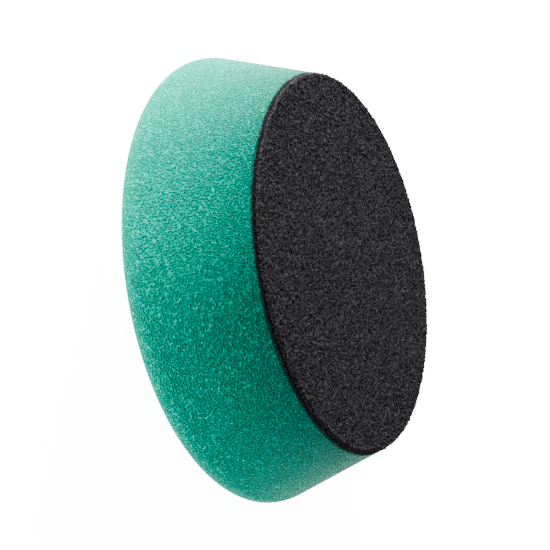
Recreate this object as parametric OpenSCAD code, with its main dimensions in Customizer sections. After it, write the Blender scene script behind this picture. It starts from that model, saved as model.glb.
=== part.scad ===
// Tapered foam polishing pad with a hook-and-loop backing.
// The pad lies on its working face: Z = 0 is that face's plane, +Z is the spin
// axis and points to the machine. All sizes are in millimetres.

/* [Foam] */
// Widest diameter, at the rounded edge beside the working face
pad_d = 90; // [84:1:100]
// Diameter of the foam's flat back, where the backing is bonded on
back_d = 76; // [60:1:80]
// Thickness of the foam
foam_h = 25; // [15:1:40]
// Radius of the rounded working edge
edge_r = 4.2; // [1:0.1:6]

/* [Backing] */
// Thickness of the hot-melt film that bonds the backing to the foam
film_t = 0.2; // [0.1:0.05:0.5]
// Thickness of the knitted ground cloth
cloth_t = 0.5; // [0.3:0.1:1]
// Height of the loop pile above the ground cloth
pile_t = 0.8; // [0.5:0.1:2]

/* [Quality] */
// Facets of a full circle in the preview
facets = 180; // [60:20:360]

/* [Hidden] */
$fn = facets;

back_r = back_d / 2;
// Centre of the edge rounding in the half section
edge_x = pad_d / 2 - edge_r;
edge_z = edge_r;
// The side is the straight line from the back's rim that touches the rounding.
rim_dx = edge_x - back_r;
rim_dz = foam_h - edge_z;
rim_span = sqrt(rim_dx * rim_dx + rim_dz * rim_dz);
// Angle between the side and the spin axis
taper = atan2(rim_dx, rim_dz) + asin(edge_r / rim_span);
touch_x = edge_x + edge_r * cos(taper);
touch_z = edge_z + edge_r * sin(taper);

film_z = foam_h;
cloth_z = film_z + film_t;
pile_z = cloth_z + cloth_t;

// Radius of the tapered side at a height on or above the rounding
function side_r(z) = back_r - (z - foam_h) * tan(taper);

// Half section of the foam: flat working face, rounded edge, tapered side
module foam_section() {
    polygon([
        [0, 0],
        [edge_x, 0],
        [edge_x, edge_z],
        [touch_x, touch_z],
        [back_r, foam_h],
        [0, foam_h]
    ]);
    intersection() {
        translate([edge_x, edge_z]) circle(r = edge_r);
        polygon([
            [edge_x, 0],
            [edge_x + 2 * edge_r, 0],
            [edge_x + 2 * edge_r, edge_z + 2 * edge_r * tan(taper)],
            [edge_x, edge_z]
        ]);
    }
}

// A flat layer of the backing, its rim cut in line with the foam's side
module tapered_layer(z, thickness) {
    translate([0, 0, z])
        cylinder(h = thickness, r1 = side_r(z), r2 = side_r(z + thickness));
}

// Open-cell polyurethane foam, cut and ground to a tapered disc
module foam_body() {
    color([0.05, 0.62, 0.50])
        rotate_extrude() foam_section();
}

// Hot-melt film between the foam and the backing
module adhesive_film() {
    color([0.80, 0.86, 0.83])
        tapered_layer(film_z, film_t);
}

// Knitted nylon ground of the loop fabric
module ground_cloth() {
    color([0.06, 0.06, 0.07])
        tapered_layer(cloth_z, cloth_t);
}

// Brushed nylon loops that grip a machine's hook-faced backing plate
module loop_pile() {
    color([0.18, 0.18, 0.19])
        tapered_layer(pile_z, pile_t);
}

foam_body();
adhesive_film();
ground_cloth();
loop_pile();
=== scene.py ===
import math

import bpy
import bmesh
from mathutils import Matrix, Vector


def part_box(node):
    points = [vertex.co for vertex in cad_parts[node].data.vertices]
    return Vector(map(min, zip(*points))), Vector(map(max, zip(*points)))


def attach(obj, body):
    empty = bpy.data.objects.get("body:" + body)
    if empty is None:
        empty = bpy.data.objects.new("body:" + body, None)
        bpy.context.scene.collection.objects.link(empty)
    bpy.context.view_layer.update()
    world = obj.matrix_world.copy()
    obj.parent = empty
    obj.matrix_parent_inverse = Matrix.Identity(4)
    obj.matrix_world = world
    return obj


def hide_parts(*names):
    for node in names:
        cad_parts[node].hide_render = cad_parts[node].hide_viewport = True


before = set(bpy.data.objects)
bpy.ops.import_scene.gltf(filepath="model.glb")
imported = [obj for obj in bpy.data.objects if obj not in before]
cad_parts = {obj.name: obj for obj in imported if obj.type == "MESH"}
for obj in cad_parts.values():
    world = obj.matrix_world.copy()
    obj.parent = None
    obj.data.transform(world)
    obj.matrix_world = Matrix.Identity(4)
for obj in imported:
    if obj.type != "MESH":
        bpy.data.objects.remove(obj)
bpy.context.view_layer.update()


# ---- Foam body -------------------------------------------------------------------------------
# Open-cell polyurethane foam, cut from a block with a wire and ground to a taper, with the edge
# of its working face rounded over. Its narrow end is bonded to the loop backing with film.
foam_low, foam_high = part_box("foam_body")
foam_height = foam_high.z - foam_low.z
back_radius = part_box("adhesive_film")[1].x
edge_radius = 0.0042
foam_step = 0.0005
cell_width = 0.00055
cell_depth = 0.00032
cell_wander = 0.7 * cell_width
strut_width = 0.18
hollow_edge = 0.35
working_side_z = 0.005
tolerance = 1e-6

rim_dx = foam_high.x - edge_radius - back_radius
rim_dz = foam_height - edge_radius
taper = math.atan2(rim_dx, rim_dz) + math.asin(edge_radius / math.hypot(rim_dx, rim_dz))
corner_radius = back_radius + foam_height * math.tan(taper)
edge_setback = edge_radius / math.tan((math.pi / 2 - taper) / 2)
edge_arc = edge_radius * (math.pi / 2 + taper)
side_length = foam_height / math.cos(taper) - edge_setback


def punch_disc(name, radius, low, high, step):
    """A disc with the pad's taper, from its given radius at low up to high, left in edit mode."""
    bpy.ops.object.select_all(action="DESELECT")
    steps_round = 4 * round(math.pi / 2 * radius / step)
    bpy.ops.mesh.primitive_circle_add(
        vertices=steps_round, radius=radius, fill_type="NGON", enter_editmode=True
    )
    disc = bpy.context.object
    disc.name = name
    bpy.ops.transform.translate(value=(0, 0, low))
    bpy.ops.mesh.extrude_region_move(TRANSFORM_OT_translate={"value": (0, 0, high - low)})
    narrowing = 1 - (high - low) * math.tan(taper) / radius
    bpy.ops.transform.resize(value=(narrowing, narrowing, 1), center_override=(0, 0, high))
    return disc


def select_parts(piece, parts, wanted):
    """In edit mode, selects only the vertices, edges or faces that wanted() says."""
    bpy.ops.mesh.select_mode(type={"verts": "VERT", "edges": "EDGE", "faces": "FACE"}[parts])
    bpy.ops.mesh.select_all(action="DESELECT")
    shape = bmesh.from_edit_mesh(piece.data)
    for part in getattr(shape, parts):
        part.select = wanted(part)
    shape.select_flush_mode()
    bmesh.update_edit_mesh(piece.data)


def grid_over(piece, facing_up):
    """Swaps the one big face that closes a disc's top or bottom for an even grid of small ones."""
    up = 1 if facing_up else -1
    select_parts(piece, "faces", lambda face: len(face.verts) > 4 and face.normal.z * up > 0.99)
    bpy.ops.mesh.delete(type="FACE")
    select_parts(piece, "edges", lambda edge: edge.is_boundary)
    steps_round = len([edge for edge in bmesh.from_edit_mesh(piece.data).edges if edge.select])
    bpy.ops.mesh.fill_grid(span=steps_round // 4)


def leave_edit(piece):
    """Faces outwards, back to object mode, smooth shading.

    Extruding and filling leave the faces in an order that changes from run to run, so they are
    put in a fixed one: what is scattered on them later then falls in the same places every time.
    """
    bpy.ops.mesh.select_all(action="SELECT")
    bpy.ops.mesh.normals_make_consistent(inside=False)
    bpy.ops.object.mode_set(mode="OBJECT")
    places = [vert.co.copy() for vert in piece.data.vertices]
    faces = []
    for face in piece.data.polygons:
        corners = list(face.vertices)
        first = corners.index(min(corners))
        faces.append(corners[first:] + corners[:first])
    piece.data.clear_geometry()
    piece.data.from_pydata(places, [], sorted(faces))
    bpy.ops.object.shade_smooth()


foam = punch_disc("foam_pad", corner_radius, foam_low.z, foam_high.z, foam_step)
select_parts(foam, "edges", lambda edge: max(v.co.z for v in edge.verts) < foam_low.z + tolerance)
bpy.ops.mesh.bevel(
    offset_type="OFFSET", offset=edge_setback, segments=round(edge_arc / foam_step),
    profile=0.5, affect="EDGES",
)
select_parts(foam, "edges", lambda edge: abs(edge.verts[0].co.z - edge.verts[1].co.z) > foam_height / 2)
bpy.ops.mesh.subdivide_edgering(number_cuts=round(side_length / foam_step), interpolation="LINEAR")
grid_over(foam, facing_up=False)
leave_edit(foam)


def add_node(tree, kind, inputs=(), **settings):
    """A new node with its settings, and each input set to a value or joined to a socket."""
    node = tree.nodes.new(kind)
    for name, value in settings.items():
        setattr(node, name, value)
    for name, value in dict(inputs).items():
        if isinstance(value, bpy.types.NodeSocket):
            tree.links.new(value, node.inputs[name])
        else:
            node.inputs[name].default_value = value
    return node


def foam_cells(tree, place):
    """How far a place is from the nearest wall between two cells, in cell widths."""
    wander = add_node(
        tree, "ShaderNodeTexNoise", {"Vector": place, "Scale": 0.9 / cell_width, "Detail": 1.0}
    )
    shift = add_node(
        tree, "ShaderNodeVectorMath", {0: wander.outputs["Color"], 1: (0.5, 0.5, 0.5)}, operation="SUBTRACT"
    )
    bent = add_node(
        tree, "ShaderNodeVectorMath",
        {0: shift.outputs[0], 1: (cell_wander,) * 3, 2: place}, operation="MULTIPLY_ADD",
    )
    cells = add_node(
        tree, "ShaderNodeTexVoronoi",
        {"Vector": bent.outputs[0], "Scale": 1 / cell_width, "Randomness": 0.8},
        feature="DISTANCE_TO_EDGE",
    )
    return cells.outputs["Distance"]


def new_finish(name):
    """An empty material, with its node tree."""
    finish = bpy.data.materials.new(name)
    finish.use_nodes = True
    finish.node_tree.nodes.clear()
    return finish, finish.node_tree


def colour_ramp(tree, value, low, high):
    """A colour for each value, between two ends given as (position, (red, green, blue))."""
    node = add_node(tree, "ShaderNodeValToRGB", {"Fac": value})
    for element, (position, colour) in zip(node.color_ramp.elements, (low, high)):
        element.position = position
        element.color = (*colour, 1)
    return node.outputs["Color"]


foam_finish, tree = new_finish("teal_open_cell_foam")
place = add_node(tree, "ShaderNodeTexCoord").outputs["Object"]
from_wall = foam_cells(tree, place)
# Lighter cell walls and darker cell hollows: partly the foam's own grain, partly painted shade in the
# hollows.
strut = add_node(
    tree, "ShaderNodeMapRange",
    {"Value": from_wall, "From Min": 0.0, "From Max": strut_width, "To Min": 1.0, "To Max": 0.0},
    interpolation_type="SMOOTHSTEP",
)
broken = add_node(tree, "ShaderNodeTexNoise", {"Vector": place, "Scale": 1.3 / cell_width, "Detail": 1.0})
whole = add_node(
    tree, "ShaderNodeMapRange", {"Value": broken.outputs["Fac"], "From Min": 0.38, "From Max": 0.58},
    interpolation_type="SMOOTHSTEP",
)
cell_grain_and_hollow_shade = add_node(
    tree, "ShaderNodeMath", {0: strut.outputs[0], 1: whole.outputs[0]}, operation="MULTIPLY"
)
teal = colour_ramp(
    tree, cell_grain_and_hollow_shade.outputs[0],
    (0.0, (0.024, 0.37, 0.262)), (1.0, (0.036, 0.70, 0.535)),
)
# Painted light and shade: the foam's colour is scaled lighter towards its working face and darker towards
# the backing. This stands in for light that falls off along the side towards the backing.
height = add_node(tree, "ShaderNodeSeparateXYZ", {0: place}).outputs["Z"]
painted_falloff_to_backing = add_node(
    tree, "ShaderNodeMapRange",
    {"Value": height, "From Min": working_side_z, "From Max": foam_high.z, "To Min": 1.25, "To Max": 0.6},
)
colour = add_node(tree, "ShaderNodeVectorMath", {0: teal, "Scale": painted_falloff_to_backing.outputs[0]}, operation="SCALE")
hollow = add_node(
    tree, "ShaderNodeMapRange",
    {"Value": from_wall, "From Min": 0.0, "From Max": hollow_edge, "To Min": 1.0, "To Max": 0.0},
    interpolation_type="SMOOTHSTEP",
)
relief = add_node(tree, "ShaderNodeBump", {"Height": hollow.outputs[0], "Distance": cell_depth})
surface = add_node(
    tree, "ShaderNodeBsdfPrincipled",
    {
        "Base Color": colour.outputs[0], "Roughness": 0.5, "Normal": relief.outputs[0],
        "Specular IOR Level": 0.2, "Specular Tint": (0.0, 1.0, 0.8, 1),
    },
)
add_node(tree, "ShaderNodeOutputMaterial", {"Surface": surface.outputs[0]})
foam.data.materials.append(foam_finish)
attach(foam, "root")
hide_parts("foam_body")


# ---- Adhesive film ---------------------------------------------------------------------------
# Hot-melt film between the foam and the cloth, melted under a heated plate. Its cut rim shows as
# a thin pale line that comes and goes, because the melt has run into the cells unevenly.
film_low, film_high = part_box("adhesive_film")
melt_depth = 0.0001
melt_width = 0.0012
patch_width = 0.0011
film_step = 0.00025
film = punch_disc("melted_film", back_radius - melt_depth, film_low.z, film_high.z, film_step)
leave_edit(film)


def new_shaping(name):
    """An empty geometry-nodes group, with its input and output nodes."""
    tree = bpy.data.node_groups.new(name, "GeometryNodeTree")
    tree.interface.new_socket("Geometry", in_out="INPUT", socket_type="NodeSocketGeometry")
    tree.interface.new_socket("Geometry", in_out="OUTPUT", socket_type="NodeSocketGeometry")
    return tree, tree.nodes.new("NodeGroupInput"), tree.nodes.new("NodeGroupOutput")


def apply_shaping(piece, tree):
    """Runs a geometry-nodes group on a piece and keeps the result as its mesh."""
    bpy.ops.object.select_all(action="DESELECT")
    piece.select_set(True)
    bpy.context.view_layer.objects.active = piece
    piece.modifiers.new(tree.name, "NODES").node_group = tree
    bpy.ops.object.modifier_apply(modifier=tree.name)


def ruffle(piece, name, depth, width, upright):
    """Pushes a surface in and out by up to depth, in lumps of that width; upright is the share in z."""
    tree, came_in, went_out = new_shaping(name)
    place = add_node(tree, "GeometryNodeInputPosition").outputs[0]
    normal = add_node(tree, "GeometryNodeInputNormal").outputs[0]
    lumps = add_node(tree, "ShaderNodeTexNoise", {"Vector": place, "Scale": 1 / width, "Detail": 2.0})
    push = add_node(
        tree, "ShaderNodeMapRange",
        {
            "Value": lumps.outputs["Fac"], "From Min": 0.3, "From Max": 0.7,
            "To Min": -depth, "To Max": depth,
        },
    )
    along = add_node(tree, "ShaderNodeVectorMath", {0: normal, 1: (1, 1, upright)}, operation="MULTIPLY")
    offset = add_node(
        tree, "ShaderNodeVectorMath", {0: along.outputs[0], "Scale": push.outputs[0]}, operation="SCALE"
    )
    moved = add_node(
        tree, "GeometryNodeSetPosition", {"Geometry": came_in.outputs[0], "Offset": offset.outputs[0]}
    )
    tree.links.new(moved.outputs[0], went_out.inputs[0])
    apply_shaping(piece, tree)


ruffle(film, "uneven_melt", melt_depth, melt_width, upright=0)

film_finish, tree = new_finish("pale_green_melt")
place = add_node(tree, "ShaderNodeTexCoord").outputs["Object"]
patches = add_node(tree, "ShaderNodeTexNoise", {"Vector": place, "Scale": 1 / patch_width, "Detail": 2.0})
colour = colour_ramp(
    tree, patches.outputs["Fac"],
    (0.45, (0.008, 0.03, 0.025)), (0.75, (0.06, 0.2, 0.165)),
)
surface = add_node(tree, "ShaderNodeBsdfPrincipled", {"Base Color": colour, "Roughness": 0.35})
add_node(tree, "ShaderNodeOutputMaterial", {"Surface": surface.outputs[0]})
film.data.materials.append(film_finish)
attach(film, "root")
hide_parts("adhesive_film")


# ---- Ground cloth ----------------------------------------------------------------------------
# A warp-knitted nylon cloth that carries the loops, punched out as a disc with the pad's taper.
# It is bonded face down on the film, and only its cut rim shows, with the ends of its yarns.
cloth_low, cloth_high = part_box("ground_cloth")
cloth_radius = cloth_high.x
cloth_step = 0.00015
yarn_pitch = 0.0005
yarn_end = 0.00009
stitch_scale = 0.314 / yarn_pitch
stitch_depth = 0.0001
cloth = punch_disc("knitted_cloth", cloth_radius, cloth_low.z, cloth_high.z, cloth_step)
leave_edit(cloth)
ruffle(cloth, "cut_yarn_ends", yarn_end, yarn_pitch, upright=0)

cloth_finish, tree = new_finish("black_knit")
place = add_node(tree, "ShaderNodeTexCoord").outputs["Object"]
wales = add_node(
    tree, "ShaderNodeTexWave", {"Vector": place, "Scale": stitch_scale, "Distortion": 1.5},
    bands_direction="X",
)
courses = add_node(
    tree, "ShaderNodeTexWave", {"Vector": place, "Scale": stitch_scale, "Distortion": 1.5},
    bands_direction="Y",
)
knit = add_node(
    tree, "ShaderNodeMath", {0: wales.outputs["Fac"], 1: courses.outputs["Fac"]}, operation="MULTIPLY"
)
colour = colour_ramp(tree, knit.outputs[0], (0.0, (0.012, 0.0115, 0.013)), (0.8, (0.04, 0.039, 0.044)))
relief = add_node(tree, "ShaderNodeBump", {"Height": knit.outputs[0], "Distance": stitch_depth})
surface = add_node(
    tree, "ShaderNodeBsdfPrincipled",
    {"Base Color": colour, "Roughness": 0.8, "Normal": relief.outputs[0], "Specular IOR Level": 0.1},
)
add_node(tree, "ShaderNodeOutputMaterial", {"Surface": surface.outputs[0]})
cloth.data.materials.append(cloth_finish)
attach(cloth, "root")
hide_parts("ground_cloth")


# ---- Loop pile -------------------------------------------------------------------------------
# Fine nylon loops, knitted into the cloth and brushed up into a felt-like nap for the hooks of the
# machine's plate to hold. Most of the yarn lies tangled in a mat, and single loops stand out of it.
pile_low, pile_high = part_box("loop_pile")
mat_share = 0.65
nap_top = pile_low.z + mat_share * (pile_high.z - pile_low.z)
nap_step = 0.00028
nap_rim_radius = 0.0003
tuft_height = 0.00011
tuft_width = 0.0006
tangle_width = 0.0003
tangle_depth = 0.0001
nap = punch_disc("brushed_nap", pile_high.x, pile_low.z, nap_top, nap_step)
select_parts(nap, "edges", lambda edge: min(v.co.z for v in edge.verts) > nap_top - tolerance)
bpy.ops.mesh.bevel(offset_type="OFFSET", offset=nap_rim_radius, segments=3, profile=0.5, affect="EDGES")
grid_over(nap, facing_up=True)
leave_edit(nap)
ruffle(nap, "tangled_mat", tuft_height, tuft_width, upright=1)

nap_finish, tree = new_finish("charcoal_nap")
place = add_node(tree, "ShaderNodeTexCoord").outputs["Object"]
tangle = add_node(tree, "ShaderNodeTexNoise", {"Vector": place, "Scale": 1 / tangle_width, "Detail": 1.0})
charcoal = colour_ramp(
    tree, tangle.outputs["Fac"],
    (0.35, (0.018, 0.0176, 0.019)), (0.65, (0.142, 0.139, 0.149)),
)
# Painted shade: the nap's colour is darkened towards its roots, down to half at the cloth, where the loops
# above would shade it.
height = add_node(tree, "ShaderNodeSeparateXYZ", {0: place}).outputs["Z"]
painted_root_shade = add_node(
    tree, "ShaderNodeMapRange",
    {"Value": height, "From Min": pile_low.z, "From Max": nap_top, "To Min": 0.5},
)
colour = add_node(
    tree, "ShaderNodeVectorMath", {0: charcoal, "Scale": painted_root_shade.outputs[0]}, operation="SCALE"
)
relief = add_node(tree, "ShaderNodeBump", {"Height": tangle.outputs["Fac"], "Distance": tangle_depth})
surface = add_node(
    tree, "ShaderNodeBsdfPrincipled",
    {
        "Base Color": colour.outputs[0], "Roughness": 0.9, "Normal": relief.outputs[0],
        "Specular IOR Level": 0.0,
    },
)
add_node(tree, "ShaderNodeOutputMaterial", {"Surface": surface.outputs[0]})
nap.data.materials.append(nap_finish)

# The loop is modelled once: the upper part of a ring of yarn, closed at its feet, which stand in the nap.
loop_radius = 0.0002
yarn_radius = 0.00005
foot_cut = 0.4 * loop_radius
foot_sunk = 0.35 * loop_radius
smallest, largest = 0.7, 1.25
bpy.ops.object.select_all(action="DESELECT")
bpy.ops.mesh.primitive_torus_add(
    major_segments=8, minor_segments=3, major_radius=loop_radius, minor_radius=yarn_radius,
    rotation=(math.pi / 2, 0, 0),
)
loop = bpy.context.object
bpy.ops.object.transform_apply(location=False, rotation=True, scale=False)
bpy.ops.object.mode_set(mode="EDIT")
select_parts(loop, "verts", lambda vert: vert.co.z < -foot_cut)
bpy.ops.mesh.delete(type="VERT")
bpy.ops.mesh.select_all(action="SELECT")
bpy.ops.mesh.fill_holes(sides=4)
bpy.ops.transform.translate(value=(0, 0, -foot_sunk))
leave_edit(loop)

yarn_finish, tree = new_finish("charcoal_yarn")
shade = add_node(tree, "ShaderNodeAttribute", attribute_name="yarn_shade").outputs["Fac"]
colour = colour_ramp(tree, shade, (0.0, (0.02, 0.0196, 0.0214)), (1.0, (0.188, 0.184, 0.197)))
surface = add_node(
    tree, "ShaderNodeBsdfPrincipled", {"Base Color": colour, "Roughness": 0.8, "Specular IOR Level": 0.02}
)
add_node(tree, "ShaderNodeOutputMaterial", {"Surface": surface.outputs[0]})
loop.data.materials.append(yarn_finish)


def scatter_loops(name, pitch, lean, seed):
    """A layer of loops over the nap, at random about a pitch apart and leaning up to so many radians."""
    bpy.ops.object.select_all(action="DESELECT")
    nap.select_set(True)
    bpy.context.view_layer.objects.active = nap
    bpy.ops.object.duplicate()
    loops = bpy.context.object
    loops.name = name
    loops.data.materials.clear()
    tree, came_in, went_out = new_shaping(name)
    normal = add_node(tree, "GeometryNodeInputNormal").outputs[0]
    facing = add_node(tree, "ShaderNodeSeparateXYZ", {0: normal}).outputs["Z"]
    # The nap's underside, which faces down on the cloth, gets no loops.
    outside = add_node(tree, "FunctionNodeCompare", {0: facing, 1: -0.3}, operation="GREATER_THAN")
    roots = add_node(
        tree, "GeometryNodeDistributePointsOnFaces",
        {
            "Mesh": came_in.outputs[0], "Selection": outside.outputs[0],
            "Distance Min": pitch, "Density Max": 3 / pitch ** 2, "Seed": seed,
        },
        distribute_method="POISSON",
    )
    turned = add_node(
        tree, "FunctionNodeRandomValue", {0: (-lean, -lean, 0), 1: (lean, lean, 2 * math.pi), "Seed": seed},
        data_type="FLOAT_VECTOR",
    )
    turn = add_node(tree, "FunctionNodeEulerToRotation", {0: turned.outputs[0]})
    stance = add_node(
        tree, "FunctionNodeRotateRotation",
        {"Rotation": roots.outputs["Rotation"], "Rotate By": turn.outputs[0]}, rotation_space="LOCAL",
    )
    size = add_node(
        tree, "FunctionNodeRandomValue", {2: smallest, 3: largest, "Seed": seed + 1}, data_type="FLOAT"
    )
    one = add_node(tree, "GeometryNodeObjectInfo", {"Object": loop})
    set_out = add_node(
        tree, "GeometryNodeInstanceOnPoints",
        {
            "Points": roots.outputs["Points"], "Instance": one.outputs["Geometry"],
            "Rotation": stance.outputs[0], "Scale": size.outputs[1],
        },
    )
    shade = add_node(tree, "FunctionNodeRandomValue", {2: 0.0, 3: 1.0, "Seed": seed + 2}, data_type="FLOAT")
    shaded = add_node(
        tree, "GeometryNodeStoreNamedAttribute",
        {"Geometry": set_out.outputs[0], "Name": "yarn_shade", "Value": shade.outputs[1]},
        data_type="FLOAT", domain="INSTANCE",
    )
    real = add_node(tree, "GeometryNodeRealizeInstances", {0: shaded.outputs[0]})
    tree.links.new(real.outputs[0], went_out.inputs[0])
    apply_shaping(loops, tree)
    return loops


loop_pitch = 0.00061
standing_loops = scatter_loops("standing_loops", loop_pitch, lean=0.4, seed=3)
leaning_loops = scatter_loops("leaning_loops", loop_pitch, lean=0.8, seed=5)
crushed_loops = scatter_loops("crushed_loops", loop_pitch, lean=1.3, seed=8)
bpy.data.objects.remove(loop)
for piece in (nap, standing_loops, leaning_loops, crushed_loops):
    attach(piece, "root")
    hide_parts("loop_pile")


# ---- Camera and lights -----------------------------------------------------------------------
# The pad lies on its working face, on a bright white table. The camera looks down on it and is
# rolled over, so that the pad seems to stand on its side, with its loop backing to the right.
view_distance = 0.4057
view_elevation = math.radians(26.41)
view_roll = math.radians(80.25)
aim = Vector((0, 0, foam_high.z))
turn = (
    Matrix.Rotation(math.radians(-90), 4, "Z")
    @ Matrix.Rotation(math.pi / 2 - view_elevation, 4, "X")
    @ Matrix.Rotation(view_roll, 4, "Z")
)
bpy.ops.object.camera_add()
camera = bpy.context.object
camera.data.lens = 134.98
camera.data.sensor_width = 36
aside = Vector((-0.01354, -0.00245, view_distance))
camera.matrix_world = Matrix.Translation(aim + turn.to_3x3() @ aside) @ turn
bpy.context.scene.camera = camera

bpy.ops.mesh.primitive_plane_add(size=6)
floor = bpy.context.object
floor.name = "floor"
table_glow = 1.15
table_extra_if_seen = 2.7
floor_finish, tree = new_finish("white_table")
seen = add_node(tree, "ShaderNodeLightPath").outputs["Is Camera Ray"]
glow = add_node(
    tree, "ShaderNodeMath", {0: seen, 1: table_extra_if_seen, 2: table_glow}, operation="MULTIPLY_ADD"
)
table_top = add_node(
    tree, "ShaderNodeBsdfPrincipled",
    {
        "Base Color": (0.8, 0.8, 0.8, 1), "Roughness": 0.9, "Specular IOR Level": 0.0,
        "Emission Color": (1, 1, 1, 1), "Emission Strength": glow.outputs[0],
    },
)
add_node(tree, "ShaderNodeOutputMaterial", {"Surface": table_top.outputs[0]})
floor.data.materials.append(floor_finish)

studio_glow = 0.2
studio_extra_if_seen = 5.0
world = bpy.data.worlds.new("studio")
bpy.context.scene.world = world
world.use_nodes = True
backdrop = world.node_tree.nodes["Background"]
backdrop.inputs["Color"].default_value = (1, 1, 1, 1)
seen = add_node(world.node_tree, "ShaderNodeLightPath").outputs["Is Camera Ray"]
glow = add_node(
    world.node_tree, "ShaderNodeMath", {0: seen, 1: studio_extra_if_seen, 2: studio_glow},
    operation="MULTIPLY_ADD",
)
world.node_tree.links.new(glow.outputs[0], backdrop.inputs["Strength"])

light_distance = 0.8
light_rise = math.radians(20)
for light_name, bearing, energy in (("key_light", 90, 8.0), ("back_light", 45, 7.2)):
    around = math.radians(bearing)
    level = math.cos(light_rise)
    towards = Vector((level * math.cos(around), level * math.sin(around), math.sin(light_rise)))
    bpy.ops.object.light_add(type="AREA", location=light_distance * towards)
    light = bpy.context.object
    light.name = light_name
    light.data.size = 0.25
    light.data.energy = energy
    light.rotation_mode = "QUATERNION"
    light.rotation_quaternion = (-towards).to_track_quat("-Z", "Y")

bpy.context.scene.view_settings.view_transform = "AgX"
bpy.context.scene.view_settings.look = "AgX - High Contrast"
